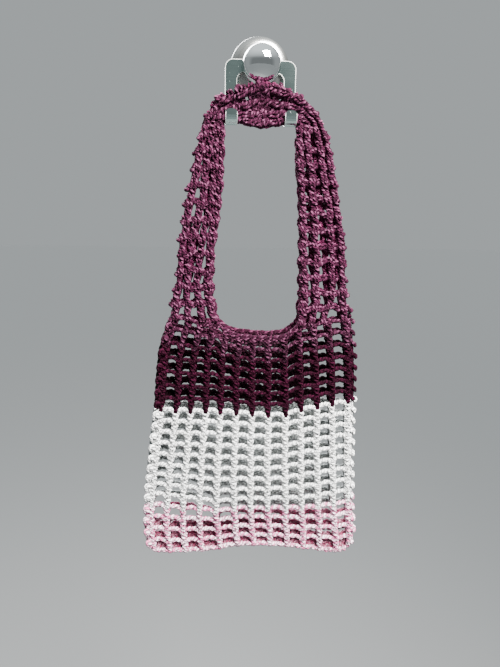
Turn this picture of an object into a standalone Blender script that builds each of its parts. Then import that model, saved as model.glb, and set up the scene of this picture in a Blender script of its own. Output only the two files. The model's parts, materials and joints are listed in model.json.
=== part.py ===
"""Crochet mesh bag hanging from a two-prong suction hook.

The bag is two crocheted net panels. Each one is a body with its own half of the
strap loop, and they are crocheted together along the whole outer edge: down both
sides, across the bottom and over the loop. The mouth and the loop's inner edges stay
open. The hook is a bent chrome plate clamped to a suction cup by a domed knob.

Frame: the origin is the centre of the suction cup's back face, where it meets the
wall. +Y runs into the wall, +Z is up, and +X is to the right seen from the room.
"""
import math

import bmesh
import bpy
from mathutils import Matrix, Vector

MM = 0.001

# The net. A cell is one gap with half of each bar and post around it.
LAYER = 4.0                  # thickness of one crocheted panel, in mm
SEAM_GAP = 0.3               # the panels lie this far apart where they are joined
BODY_CELLS = (8, 12)         # columns, rows
STRAP_CELLS = (2, 25)
BODY_HOLE = (0.56, 0.50)     # a hole's share of its cell, across and along
STRAP_HOLE = (0.42, 0.50)
CROWN_RISE = 0.09            # a hole is flat at its foot and arched at its crown
CROWN_PINCH = 0.18
SCALLOP = 0.06               # each bar rises between two posts

# How the bag hangs, in mm.
SEAM_Y = -18.0               # the plane of the side and bottom seams
FRONT_BELLY = 9.0            # how far the front panel stands off the seam's plane
BACK_BELLY = 5.5
BELLY_START = 0.35           # share of the height over which the belly fills out
RIPPLE = 1.2                 # uneven swell of the hanging cloth
RIM_Z = -272.5               # lowest level of the mouth's front rim
RIM_TILT = -1.5              # its right half hangs lower
BACK_RIM_LIFT = 2.0

# Strap loop, from the left foot over the hook to the right foot, in mm. The inner edge
# lies in the two prongs and sags between them. It is a row for each section.
STRAP_COLUMNS = ("line", "outer_x", "outer_z", "inner_x", "inner_z", "outer_y", "inner_y", "open")
STRAP = (
    (0, -97.0, -258, -40.0, -260.0, -18.0, -18.0, 1.00),
    (1, -92.0, -237, -43.5, -237.0, -18.0, -18.0, 0.60),
    (2, -86.5, -216, -46.8, -216.0, -18.0, -18.0, 0.30),
    (4, -82.0, -174, -45.0, -174.0, -18.0, -18.0, 0.16),
    (6, -76.0, -132, -39.5, -132.0, -18.0, -18.0, 0.12),
    (8, -66.5, -91, -36.8, -90.0, -18.0, -18.0, 0.10),
    (9, -62.0, -72, -36.6, -70.0, -18.0, -17.5, 0.06),
    (10, -54.0, -49, -36.5, -53.4, -19.0, -17.5, 0.00),
    (11, -38.0, -29, -22.5, -53.4, -22.0, -17.5, 0.00),
    (12, -14.0, -21, -7.5, -56.6, -26.0, -17.5, 0.05),
    (13, 10.0, -20, 7.5, -56.6, -26.0, -17.5, 0.05),
    (14, 36.0, -28, 22.5, -53.4, -22.0, -17.5, 0.00),
    (15, 58.0, -46, 36.5, -53.4, -19.0, -17.5, 0.00),
    (16, 70.0, -71, 36.6, -70.0, -18.0, -17.5, 0.06),
    (17, 74.5, -91, 37.3, -90.0, -18.0, -18.0, 0.10),
    (19, 83.0, -132, 41.6, -132.0, -18.0, -18.0, 0.12),
    (21, 91.0, -174, 42.4, -174.0, -18.0, -18.0, 0.16),
    (23, 96.0, -216, 44.2, -216.0, -18.0, -18.0, 0.30),
    (24, 100.0, -237, 44.0, -237.0, -18.0, -18.0, 0.60),
    (25, 106.5, -256, 41.0, -260.0, -18.0, -18.0, 1.00),
)
TOP_LINE = 12.5              # the two halves of the loop meet at the middle of the top

# Side seams of the body from the bottom up, and its bottom seam from left to right.
SIDE_COLUMNS = ("height", "left_x", "left_z", "right_x", "right_z")
SIDES = (
    (0.00, -124.0, -521, 121.5, -532),
    (0.08, -127.0, -500, 122.5, -510),
    (0.22, -126.3, -464, 119.0, -471),
    (0.46, -119.0, -400, 115.3, -405),
    (0.68, -111.5, -343, 113.8, -344),
    (0.82, -108.3, -305, 112.5, -306),
    (0.91, -104.5, -281, 110.0, -280),
    (1.00, -97.0, -258, 106.5, -256),
)
BOTTOM_COLUMNS = ("along", "x", "z")
BOTTOM = (
    (0.00, -124.0, -521.0),
    (0.06, -111.0, -529.0),
    (0.33, -45.0, -528.5),
    (0.46, -12.0, -524.5),
    (0.63, 30.0, -528.0),
    (0.80, 72.0, -537.0),
    (0.94, 107.0, -545.5),
    (1.00, 121.5, -532.0),
)

# The hook's plate, bent from one flat blank, in mm.
PLATE = 1.2                  # sheet thickness
PLATE_Y = -9.9               # the middle of the sheet
PLATE_TOP = 5.9
PLATE_HALF = 35.3            # half its width
LEG = 11.8                   # width of each leg
BRIDGE = 11.4                # height of the bar across the top
PLATE_CORNER = 8.0
TIP_CORNER = 4.5
SHANK_HOLE = 3.4
BEND_RADIUS = 7.6            # of the sheet's middle, round the bottom of each prong
BEND_Z = -48.3
BEND_STEPS = 12
TIP_Z = -42.5                # top of the prongs' upturned tips

# Turned pieces as (radius, distance from the wall) in mm, down the outer side.
TURN_STEPS = 40
CUP = ((0.0, 3.0), (3.3, 3.0), (3.3, 7.5), (6.0, 7.5), (6.0, 4.6), (14.0, 4.0), (24.0, 2.2),
       (28.0, 0.9), (28.0, 0.0), (0.0, 0.0))
COVER_OUTER = ((3.6, 9.0), (13.0, 8.7), (20.0, 7.6), (25.5, 5.6), (29.0, 2.9), (29.8, 1.5))
COVER_WALL = 1.0
KNOB_RADIUS = 19.0
KNOB_SKIRT = (13.4, 16.0)    # where the rim starts and where the dome starts
KNOB_HEIGHT = 32.5
KNOB_UNDERSIDE = ((11.5, 11.6), (6.0, 10.8))
SHANK_RADIUS = 2.9
SHANK_END = 3.3
ARC_STEPS = 8


def principled(name, colour, roughness, metallic=0.0):
    """A plain Principled material."""
    material = bpy.data.materials.new(name)
    material.use_nodes = True
    shader = material.node_tree.nodes["Principled BSDF"]
    shader.inputs["Base Color"].default_value = (*colour, 1.0)
    shader.inputs["Roughness"].default_value = roughness
    shader.inputs["Metallic"].default_value = metallic
    return material


def place(collection, name, mesh, material):
    """Link a mesh as a named object with its material."""
    piece = bpy.data.objects.new(name, mesh)
    piece.data.materials.append(material)
    collection.objects.link(piece)
    return piece


def section(table, columns, position):
    """Read a table at any position with a smooth curve through its rows."""
    knots = [row[0] for row in table]
    last = len(knots) - 2
    low = max(i for i in range(len(knots)) if i == 0 or (knots[i] <= position and i <= last))
    span = knots[low + 1] - knots[low]
    t = (position - knots[low]) / span

    def slope(i, column):
        before, after = max(i - 1, 0), min(i + 1, last + 1)
        return (table[after][column] - table[before][column]) / (knots[after] - knots[before])

    values = {}
    for column, name in enumerate(columns):
        start, end = table[low][column], table[low + 1][column]
        leave, arrive = slope(low, column) * span, slope(low + 1, column) * span
        values[name] = (
            start
            + leave * t
            + (3 * (end - start) - 2 * leave - arrive) * t ** 2
            + (2 * (start - end) + leave + arrive) * t ** 3
        )
    return values


def ease(t):
    """Smooth step from 0 to 1 that leaves and arrives flat."""
    t = min(max(t, 0.0), 1.0)
    return t * t * (3 - 2 * t)


def stand_off(side, share):
    """Distance of a panel's middle from the bag's middle: side is -1 in front, 1 behind."""
    belly = FRONT_BELLY if side < 0 else BACK_BELLY
    return side * ((LAYER + SEAM_GAP) / 2 + belly * share)


def strap_middle(line, across):
    """The surface between the strap's two layers, which leans forward under the knob."""
    at = section(STRAP, STRAP_COLUMNS, line)
    x = at["outer_x"] + (at["inner_x"] - at["outer_x"]) * across
    z = at["outer_z"] + (at["inner_z"] - at["outer_z"]) * across
    y = at["inner_y"] + (at["outer_y"] - at["inner_y"]) * (1 - across) ** 3
    return Vector((x, y, z)), at["open"]


def strap_point(line, across, side):
    """A point of the strap loop: across runs from the outer seam, 0, to the inner edge, 1."""
    middle, open_share = strap_middle(line, across)
    step = 0.01
    along_loop = strap_middle(line + step, across)[0] - strap_middle(line - step, across)[0]
    to_edge = strap_middle(line, across + step)[0] - strap_middle(line, across - step)[0]
    backward = along_loop.cross(to_edge).normalized()
    return middle + backward * stand_off(side, open_share * ease(across))


def top_point(along, side):
    """The body's top edge: the left strap's foot, the rim of the mouth, the right foot."""
    foot = STRAP_CELLS[0] / BODY_CELLS[0]
    if along <= foot:
        return strap_point(0, along / foot, side)
    if along >= 1 - foot:
        return strap_point(STRAP_CELLS[1], (1 - along) / foot, side)
    start = strap_point(0, 1, side)
    end = strap_point(STRAP_CELLS[1], 1, side)
    share = (along - foot) / (1 - 2 * foot)
    swing = 2 * share - 1
    rim = start.lerp(end, share)
    depth = RIM_Z + (BACK_RIM_LIFT if side > 0 else 0.0) - start.z
    rim.z = start.z + depth * (1 - swing ** 4) + RIM_TILT * math.sin(math.pi * share) * swing
    return rim


def body_point(along, height, side):
    """A point of the body, blended from its four edges and then bellied out."""
    sides = section(SIDES, SIDE_COLUMNS, height)
    left = Vector((sides["left_x"], SEAM_Y, sides["left_z"]))
    right = Vector((sides["right_x"], SEAM_Y, sides["right_z"]))
    bottom_at = section(BOTTOM, BOTTOM_COLUMNS, along)
    bottom = Vector((bottom_at["x"], SEAM_Y, bottom_at["z"]))
    top = top_point(along, side)
    left_end = Vector((SIDES[0][1], SEAM_Y, SIDES[0][2]))
    right_end = Vector((SIDES[0][3], SEAM_Y, SIDES[0][4]))
    low = left_end.lerp(right_end, along)
    high = top_point(0, side).lerp(top_point(1, side), along)
    corners = low.lerp(high, height)
    point = bottom.lerp(top, height) + left.lerp(right, along) - corners
    foot = STRAP_CELLS[0] / BODY_CELLS[0]
    share = ease(min(along, 1 - along) / foot) * ease(height / BELLY_START)
    ripple = RIPPLE * math.sin(3 * math.pi * along + 1) * math.sin(math.pi * height)
    point.y = SEAM_Y + stand_off(side, share) + ripple * share
    return point


def flat_net(cells, hole, turn_row):
    """A flat net of unit cells with arched holes, which point the other way past turn_row."""
    columns, rows = cells
    net = bmesh.new()
    unit_cells = Matrix.Translation((columns / 2, rows / 2, 0)) @ Matrix.Diagonal((columns, rows, 1, 1))
    bmesh.ops.create_grid(net, x_segments=columns, y_segments=rows, size=0.5, matrix=unit_cells)
    bars = [edge for edge in net.edges if abs(edge.verts[0].co.y - edge.verts[1].co.y) < 0.5]
    bmesh.ops.bisect_edges(net, edges=bars, cuts=1)
    middles = [v for v in net.verts if abs(v.co.x % 1 - 0.5) < 0.25 and 0.5 < v.co.y < rows - 0.5]
    gaps = list(net.faces)
    border = 0.1
    bmesh.ops.inset_individual(net, faces=gaps, thickness=border, use_even_offset=True)
    for gap in gaps:
        centre = gap.calc_center_median()
        up = 1 if centre.y < turn_row else -1
        for vert in gap.verts:
            offset = (vert.co - centre) / (1 - 2 * border)
            at_crown = offset.y * up > 0
            at_middle = abs(offset.x) < 0.25
            offset.x *= hole[0]
            offset.y *= hole[1]
            if at_crown and at_middle:
                offset.y += up * CROWN_RISE
            elif at_crown:
                offset.x *= 1 - CROWN_PINCH
            vert.co = centre + offset
    for vert in middles:
        vert.co.y += SCALLOP * (1 if vert.co.y < turn_row else -1)
    bmesh.ops.delete(net, geom=gaps, context="FACES")
    return net


def panel(collection, name, side, material):
    """One crocheted panel: its body and its half of the strap loop in one sheet."""
    body = flat_net(BODY_CELLS, BODY_HOLE, BODY_CELLS[1] + 1)
    for vert in body.verts:
        vert.co = body_point(vert.co.x / BODY_CELLS[0], vert.co.y / BODY_CELLS[1], side) * MM
    strap = flat_net(STRAP_CELLS, STRAP_HOLE, TOP_LINE)
    for vert in strap.verts:
        vert.co = strap_point(vert.co.y, vert.co.x / STRAP_CELLS[0], side) * MM
    loop = bpy.data.meshes.new(name + "_loop")
    strap.to_mesh(loop)
    strap.free()
    body.from_mesh(loop)
    bpy.data.meshes.remove(loop)
    bmesh.ops.remove_doubles(body, verts=body.verts, dist=0.00005)
    mesh = bpy.data.meshes.new(name)
    body.to_mesh(mesh)
    body.free()
    piece = place(collection, name, mesh, material)
    thicken = piece.modifiers.new("yarn thickness", "SOLIDIFY")
    thicken.thickness = LAYER * MM
    thicken.offset = 0.0
    return piece


def arc(centre, radius, start, end):
    """Points along an arc, angles in degrees."""
    angles = [math.radians(start + (end - start) * i / ARC_STEPS) for i in range(ARC_STEPS + 1)]
    return [(centre[0] + radius * math.cos(a), centre[1] + radius * math.sin(a)) for a in angles]


def plate_blank():
    """The plate's flat outline and the hole for the knob's shank."""
    inner = PLATE_HALF - LEG
    arch_top = PLATE_TOP - BRIDGE
    foot = BEND_Z - math.pi * BEND_RADIUS - (TIP_Z - BEND_Z)
    half = (
        arc((PLATE_HALF - PLATE_CORNER, PLATE_TOP - PLATE_CORNER), PLATE_CORNER, 90, 0)
        + arc((PLATE_HALF - TIP_CORNER, foot + TIP_CORNER), TIP_CORNER, 0, -90)
        + arc((inner + TIP_CORNER, foot + TIP_CORNER), TIP_CORNER, -90, -180)
        + arc((inner - PLATE_CORNER, arch_top - PLATE_CORNER), PLATE_CORNER, 0, 90)
    )
    outline = half + [(-x, z) for x, z in reversed(half)]
    hole = arc((0, 0), SHANK_HOLE, 0, 180) + arc((0, 0), SHANK_HOLE, 180, 360)[1:-1]
    return outline, hole


def bend(point):
    """Bend the flat blank: the legs turn forward round the prongs and up to their tips."""
    offset = PLATE_Y - point.y
    axis_y = PLATE_Y - BEND_RADIUS
    arc_length = math.pi * BEND_RADIUS
    run = BEND_Z - point.z
    if run <= 0:
        return point
    if run >= arc_length:
        return Vector((point.x, axis_y - BEND_RADIUS + offset, BEND_Z + run - arc_length))
    angle = run / BEND_RADIUS
    radius = BEND_RADIUS - offset
    return Vector((point.x, axis_y + radius * math.cos(angle), BEND_Z - radius * math.sin(angle)))


def hook_plate(collection, material):
    """The hook's plate, cut flat and then bent."""
    curve = bpy.data.curves.new("blank", "CURVE")
    curve.dimensions = "2D"
    curve.fill_mode = "BOTH"
    curve.extrude = PLATE / 2 * MM
    for points in plate_blank():
        spline = curve.splines.new("POLY")
        spline.points.add(len(points) - 1)
        spline.use_cyclic_u = True
        for target, (x, z) in zip(spline.points, points):
            target.co = (x * MM, z * MM, 0, 1)
    blank = bpy.data.objects.new("blank", curve)
    collection.objects.link(blank)
    bpy.context.view_layer.update()
    mesh = bpy.data.meshes.new_from_object(blank.evaluated_get(bpy.context.evaluated_depsgraph_get()))
    bpy.data.objects.remove(blank)
    sheet = bmesh.new()
    sheet.from_mesh(mesh)
    bmesh.ops.remove_doubles(sheet, verts=sheet.verts, dist=0.00002)
    bmesh.ops.rotate(sheet, cent=(0, 0, 0), matrix=Matrix.Rotation(math.pi / 2, 3, "X"), verts=sheet.verts)
    bmesh.ops.translate(sheet, vec=(0, PLATE_Y * MM, 0), verts=sheet.verts)
    for step in range(BEND_STEPS + 1):
        level = BEND_Z - math.pi * BEND_RADIUS * step / BEND_STEPS
        everything = list(sheet.verts) + list(sheet.edges) + list(sheet.faces)
        bmesh.ops.bisect_plane(sheet, geom=everything, dist=0.000001,
                               plane_co=(0, 0, level * MM), plane_no=(0, 0, 1))
    for vert in sheet.verts:
        vert.co = bend(vert.co / MM) * MM
    sheet.to_mesh(mesh)
    sheet.free()
    return place(collection, "hook_plate", mesh, material)


def turned(collection, name, profile, closed, material):
    """A turned piece on the hook's axis, which points out of the wall."""
    mesh = bpy.data.meshes.new(name)
    edges = [(i, i + 1) for i in range(len(profile) - 1)]
    if closed:
        edges.append((len(profile) - 1, 0))
    mesh.from_pydata([(r * MM, 0, h * MM) for r, h in profile], edges, [])
    piece = place(collection, name, mesh, material)
    piece.rotation_euler = (math.radians(90), 0, 0)
    screw = piece.modifiers.new("turn", "SCREW")
    screw.steps = TURN_STEPS
    screw.render_steps = TURN_STEPS
    screw.use_merge_vertices = True
    screw.merge_threshold = 0.00001
    return piece


def cover_profile():
    """The domed cover over the cup: a thin shell, open behind."""
    inside = [(r - (COVER_WALL if r > COVER_OUTER[0][0] else 0), h - COVER_WALL * 1.1)
              for r, h in reversed(COVER_OUTER[:-1])]
    rim = (COVER_OUTER[-1][0] - COVER_WALL, COVER_OUTER[-1][1])
    return list(COVER_OUTER) + [rim] + inside


def knob_profile():
    """The domed knob with its rim, its hollowed underside and its shank."""
    skirt, spring = KNOB_SKIRT
    dome = [
        (KNOB_RADIUS * math.sin(math.pi / 2 * i / ARC_STEPS),
         spring + (KNOB_HEIGHT - spring) * math.cos(math.pi / 2 * i / ARC_STEPS))
        for i in range(ARC_STEPS + 1)
    ]
    rim = [(KNOB_RADIUS, skirt), (KNOB_RADIUS - 1.2, skirt - 0.9)]
    shank = [(SHANK_RADIUS, KNOB_UNDERSIDE[-1][1]), (SHANK_RADIUS, SHANK_END), (0.0, SHANK_END)]
    return dome + rim + list(KNOB_UNDERSIDE) + shank


def main():
    for old in list(bpy.data.objects):
        bpy.data.objects.remove(old)
    parts = bpy.data.collections.new("crochet mesh bag on a hook")
    bpy.context.scene.collection.children.link(parts)
    yarn = principled("plum yarn", (0.10, 0.012, 0.035), 0.9)
    chrome = principled("chrome", (0.80, 0.81, 0.82), 0.08, 1.0)
    steel = principled("polished steel", (0.72, 0.74, 0.74), 0.14, 1.0)
    rubber = principled("clear rubber", (0.55, 0.57, 0.58), 0.35)
    panel(parts, "front_panel", -1, yarn)
    panel(parts, "back_panel", 1, yarn)
    hook_plate(parts, steel)
    turned(parts, "suction_cup", CUP, False, rubber)
    turned(parts, "cup_cover", cover_profile(), True, chrome)
    turned(parts, "knob", knob_profile(), False, chrome)


main()
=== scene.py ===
# %% [markdown]
# # A crochet mesh bag hanging from a suction hook
# The bag is two crocheted nets joined along their outer edges. Each net is worked upwards
# in rows: a row is a line of posts, and the chain that joins their tops is a bar. This
# lesson builds that yarn by yarn over the CAD part, and finishes the hook's metal.

import json

import bmesh
import bpy
import numpy as np
from mathutils import Matrix

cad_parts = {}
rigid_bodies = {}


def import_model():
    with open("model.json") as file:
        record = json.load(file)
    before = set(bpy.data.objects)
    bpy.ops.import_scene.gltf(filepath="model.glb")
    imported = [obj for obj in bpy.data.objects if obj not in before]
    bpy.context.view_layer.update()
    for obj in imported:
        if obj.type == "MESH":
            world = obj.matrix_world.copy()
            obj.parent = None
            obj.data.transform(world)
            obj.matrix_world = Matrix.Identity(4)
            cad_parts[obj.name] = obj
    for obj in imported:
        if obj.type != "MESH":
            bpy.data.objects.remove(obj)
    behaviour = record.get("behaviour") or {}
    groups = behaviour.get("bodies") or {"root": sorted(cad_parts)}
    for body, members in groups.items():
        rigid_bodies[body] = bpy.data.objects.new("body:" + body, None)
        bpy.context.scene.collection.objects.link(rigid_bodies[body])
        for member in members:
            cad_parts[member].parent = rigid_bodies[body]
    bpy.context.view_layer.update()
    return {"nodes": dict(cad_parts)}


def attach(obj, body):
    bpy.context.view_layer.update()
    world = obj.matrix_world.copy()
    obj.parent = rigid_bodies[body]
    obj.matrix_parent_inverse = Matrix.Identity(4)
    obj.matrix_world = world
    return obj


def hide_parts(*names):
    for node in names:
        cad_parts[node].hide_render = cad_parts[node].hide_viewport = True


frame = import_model()
MM = 0.001
TURN = 2 * np.pi
print("frame nodes:", sorted(frame["nodes"]))

# %% [markdown]
# ## Camera and light
# The bag hangs from a wall hook, so the camera stands half a metre away, a little below the
# hook, and looks slightly down. Its matrix has the directions to its right, up and backwards
# as columns, so those are written down and made square. The light is soft: a large panel on
# the upper right, like a window, and a weak one for whoever walks round behind the bag.

# %% Camera
CAMERA_PLACE = (-0.05627, -0.5472, -0.15181)
CAMERA_RIGHT = (0.99597, -0.08848, 0.01461)
CAMERA_DOWN = (-0.00474, -0.21463, -0.97668)
LENS = 27.04  # on a 36 mm sensor


def unit(vectors):
    """Vectors divided by their own length."""
    return vectors / np.linalg.norm(vectors, axis=-1, keepdims=True)


def add(name, data):
    """A new object in the scene."""
    made = bpy.data.objects.new(name, data)
    bpy.context.scene.collection.objects.link(made)
    return made


def stand(holder, right, back, place):
    """Place an object by the directions to its right and behind it."""
    pose = np.eye(4)
    pose[:3] = np.stack((right, np.cross(back, right), back, place), -1)
    holder.matrix_world = Matrix(pose.tolist())


right = unit(np.array(CAMERA_RIGHT))
back = unit(np.cross(right, -np.array(CAMERA_DOWN)))
camera = add("camera", bpy.data.cameras.new("camera"))
camera.data.lens = LENS
stand(camera, right, back, CAMERA_PLACE)
bpy.context.scene.camera = camera
print("camera looks along", np.round(-back, 3))

# %% Lights
AIM = (0.0, -0.02, -0.3)  # the middle of the bag
SPREAD = np.radians(110)
PANELS = (  # name, place, width, watts, colour
    ("window", (0.53, -0.84, 1.00), 0.75, 100.0, (1.0, 0.99, 0.97)),
    ("rear_fill", (-0.60, 1.30, 0.70), 1.20, 45.0, (0.96, 0.98, 1.0)),
)
for name, place, width, watts, colour in PANELS:
    lamp = bpy.data.lights.new(name, "AREA")
    lamp.size, lamp.energy, lamp.color, lamp.spread = width, watts, colour, SPREAD
    away = unit(np.array(place) - np.array(AIM))
    stand(add(name, lamp), unit(np.cross((0, 0, 1.0), away)), away, place)
print("panels of light:", [panel[0] for panel in PANELS])

# %% [markdown]
# ## Shader maths in Python
# A material reads best as a formula. `Wire` wraps an output socket, and an operator on it
# adds the Math node that does it. `Nodes` is one node tree, with a single method for every
# other node, and `Finish` is such a tree for one material.

# %% Wire


class Wire:
    """A number that a node gives. An operator on it adds the Math node that works it out."""

    def __init__(self, nodes, socket):
        self.nodes, self.socket = nodes, socket

    def math(self, operation, *others):
        """A Math node on this wire and others."""
        values = dict(enumerate((self, *others)))
        return self.nodes.node("ShaderNodeMath", {"operation": operation}, values)

    __add__ = __radd__ = lambda wire, other: wire.math("ADD", other)
    __mul__ = __rmul__ = lambda wire, other: wire.math("MULTIPLY", other)
    __sub__ = lambda wire, other: wire.math("SUBTRACT", other)
    __rsub__ = lambda wire, other: wire.math("MULTIPLY_ADD", -1.0, other)  # other - wire
    __pow__ = lambda wire, other: wire.math("POWER", other)
    __gt__ = lambda wire, other: wire.math("GREATER_THAN", other)


# %% Nodes and Finish


class Nodes:
    """One node tree."""

    def __init__(self, tree):
        self.tree = tree

    def node(self, kind, settings=None, values=None, output=0):
        """Add a node: its settings first, then the values or wires of its sockets."""
        made = self.tree.nodes.new(kind)
        for key, value in (settings or {}).items():
            setattr(made, key, value)
        for key, value in (values or {}).items():
            self.feed(made.inputs[key], value)
        return Wire(self, made.outputs[output])

    def feed(self, socket, value):
        """Link a wire to a socket, or set the socket's own value."""
        if isinstance(value, Wire):
            self.tree.links.new(value.socket, socket)
        else:
            socket.default_value = value

    def clamped(self, value):
        """The value held between 0 and 1."""
        return self.node("ShaderNodeClamp", None, {0: value})

    def parts(self, vector):
        """The three numbers of a vector."""
        split = self.node("ShaderNodeSeparateXYZ", None, {0: vector}).socket.node
        return [Wire(self, socket) for socket in split.outputs]


class Finish(Nodes):
    """One procedural material."""

    def __init__(self, name, **fixed):
        self.material = bpy.data.materials.new(name)
        self.material.use_nodes = True
        super().__init__(self.material.node_tree)
        self.shader = self.tree.nodes["Principled BSDF"]
        for socket, value in fixed.items():
            self.shader.inputs[socket.replace("_", " ")].default_value = value

    def set(self, socket, value):
        """Give one of the shader's inputs its value."""
        self.feed(self.shader.inputs[socket], value)

    def place(self):
        """A point of the piece, in metres from its origin."""
        return self.node("ShaderNodeTexCoord", output="Object")

    def mix(self, share, first, second, blend="MIX"):
        """Mix two colours: the first where share is 0 and the second where it is 1."""
        settings = {"data_type": "RGBA", "blend_type": blend, "clamp_result": False}
        return self.node("ShaderNodeMix", settings, {0: share, 6: first, 7: second}, output=2)

    def noise(self, scale, detail=2.0, vector=None, roughness=0.5):
        """Soft noise from 0 to 1, on Object coordinates unless a vector is given."""
        values = {"Scale": scale, "Detail": detail, "Roughness": roughness}
        values["Vector"] = vector or self.place()
        return self.node("ShaderNodeTexNoise", None, values)

    def bump(self, height, distance):
        """Relief of the surface from a height between 0 and 1."""
        return self.node("ShaderNodeBump", None, {"Height": height, "Distance": distance})


# %% [markdown]
# ## Floor and sky
# A pale floor lies three metres below, where the light on it is even, so that in the
# camera's view it runs on into the sky. The sky is a soft grey, brighter at the zenith,
# which fills the shadows. Low down on the camera's own side it is darker, as a studio is,
# so a polished dome mirrors a light cap, a darker middle and a pale floor.

# %% Floor
FLOOR_LEVEL, FLOOR_HALF, FLOOR_GREY = -3.0, 60.0, 0.44
CORNERS = ((-1, -1), (1, -1), (1, 1), (-1, 1))

corners = [(x * FLOOR_HALF, y * FLOOR_HALF, FLOOR_LEVEL) for x, y in CORNERS]
pale = Finish("pale floor", Roughness=0.8)
pale.set("Base Color", (FLOOR_GREY, FLOOR_GREY, FLOOR_GREY, 1))
mesh = bpy.data.meshes.new("floor")
mesh.from_pydata(corners, [], [(0, 1, 2, 3)])
mesh.materials.append(pale.material)
add("floor", mesh)
print("floor at", FLOOR_LEVEL, "m")

# %% Sky
SKY_COLOUR = (0.80, 0.86, 0.88)
SKY_RISE = {"From Min": 0.45, "From Max": 0.90, "To Min": 0.48, "To Max": 1.5}  # by height
DARK_TOP, DARK_SIDE, DARK_SHARE = 0.55, -0.2, 0.44

world = bpy.data.worlds.new("studio sky")
world.use_nodes = True
bpy.context.scene.world = world
sky = Nodes(world.node_tree)
_, y, z = sky.parts(sky.node("ShaderNodeTexCoord", output="Generated"))
strength = sky.node("ShaderNodeMapRange", None, {"Value": z, **SKY_RISE})
dark = sky.clamped((DARK_TOP - z) * 5.0) * sky.clamped((DARK_SIDE - y) * 2.5)
background = world.node_tree.nodes["Background"]
sky.feed(background.inputs["Strength"], strength * (1.0 - dark * DARK_SHARE))
sky.feed(background.inputs["Color"], (*SKY_COLOUR, 1))
print("sky strength", SKY_RISE["To Min"], "to", SKY_RISE["To Max"])

# %% [markdown]
# ## Yarn
# Each yarn is three thin plies twisted round each other. A tube of yarn carries its own UV
# map: turns round the tube, and its length in twists. Their sum, times three, counts the
# plies: its whole part names a ply, and its fraction is the place from groove to crest to
# groove. The colour is darkened towards the grooves, as painted shade. A marl has plies of
# unlike colours. Faces that look into the bag are tinted with painted shade, deepest down in
# the bag, and on the mauve straps with painted light, which lifts the back layer's yarn.

# %% Yarn shader
PLIES = 3
# Painted shade, and on the mauve straps painted light, go on the faces that look into the bag:
INSIDE = {-1: (2.0, -0.2), 1: (-2.0, 0.9)}  # front and back: slope and offset of inside_share
BAG_TINT = 0.06  # share of the inside tint left down in the bag, where the straps' painted light turns to painted shade


def plies_of(finish):
    """Length in twists, the count of plies, and 1 on a ply's crest, falling to 0 in its groove."""
    turn, length, _ = finish.parts(finish.node("ShaderNodeUVMap", {"uv_map": "yarn"}))
    count = (turn + length) * float(PLIES)
    place = count.math("FRACT") * 2.0 - 1.0
    return length, count, 1.0 - place * place


def inside_share(finish, side):
    """How far a face looks into the bag, and so takes painted shade or light: a slope times its
    normal's Y, plus an offset.
    """
    slope, offset = INSIDE[side]
    _, towards_wall, _ = finish.parts(finish.node("ShaderNodeTexCoord", output="Normal"))
    return finish.clamped(towards_wall * slope + offset)


def yarn(name, side, plies, flecks, groove, painted_inside_tint, sheen=0.2, specular=0.25, painted_bag_shade=None):
    """A twisted yarn: the plies' colours, the share of stray fibres of the last one, how dark the
    grooves are painted (painted shade), the painted tint inside the bag (painted shade, or
    painted light where above 1), and a last table for the painted shade that darkens the yarn
    in the bag below the straps: the height where it is fully so, where it isn't, and by how much."""
    skin = dict(Roughness=0.85, Sheen_Weight=sheen, Sheen_Roughness=0.4)
    finish = Finish(name, Specular_IOR_Level=specular, **skin)
    first, second, last = ((*ply, 1) for ply in plies)
    finish.shader.inputs["Sheen Tint"].default_value = last
    length, count, crest = plies_of(finish)
    ply = count.math("FLOOR").math("FLOORED_MODULO", float(PLIES))
    colour = finish.mix(ply > 1.5, finish.mix(ply > 0.5, first, second), last)
    fibre_place = finish.node("ShaderNodeCombineXYZ", None, {0: count * 1.6, 1: length * 5.0})
    fibres, patches = finish.noise(1.7, 3.0, fibre_place, 0.65), finish.noise(60.0)
    colour = finish.mix(finish.clamped((fibres - (1.0 - flecks)) * 9.0), colour, last)
    # Painted shade: darker towards the grooves between plies; patches and fibres vary the yarn's
    # own colour.
    shade = (crest * groove + (1.1 - groove)) * (patches * 0.4 + 0.8) * (fibres * 0.5 + 0.75)
    tint = (*painted_inside_tint, 1)
    # Painted shade down in the bag: below the straps the yarn is darker and its inside tint
    # shrinks.
    if painted_bag_shade:
        full, none, strength = painted_bag_shade
        _, _, height = finish.parts(finish.place())
        share = finish.clamped((none - height) * (1 / (none - full)))
        shade = shade * (1.0 - share * strength)
        tint = finish.mix(share, tint, (*(BAG_TINT * part for part in painted_inside_tint), 1))
    grey = finish.node("ShaderNodeCombineColor", None, {0: shade, 1: shade, 2: shade})
    colour = finish.mix(1.0, colour, grey, "MULTIPLY")
    # Painted shade, and on the mauve straps painted light, on faces that look into the bag.
    if side:
        tinted = finish.mix(1.0, colour, tint, "MULTIPLY")
        colour = finish.mix(inside_share(finish, side), colour, tinted)
    finish.set("Base Color", colour)
    finish.set("Normal", finish.bump(crest * 0.7 + fibres * 0.6, 0.0012))
    return finish.material


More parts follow.
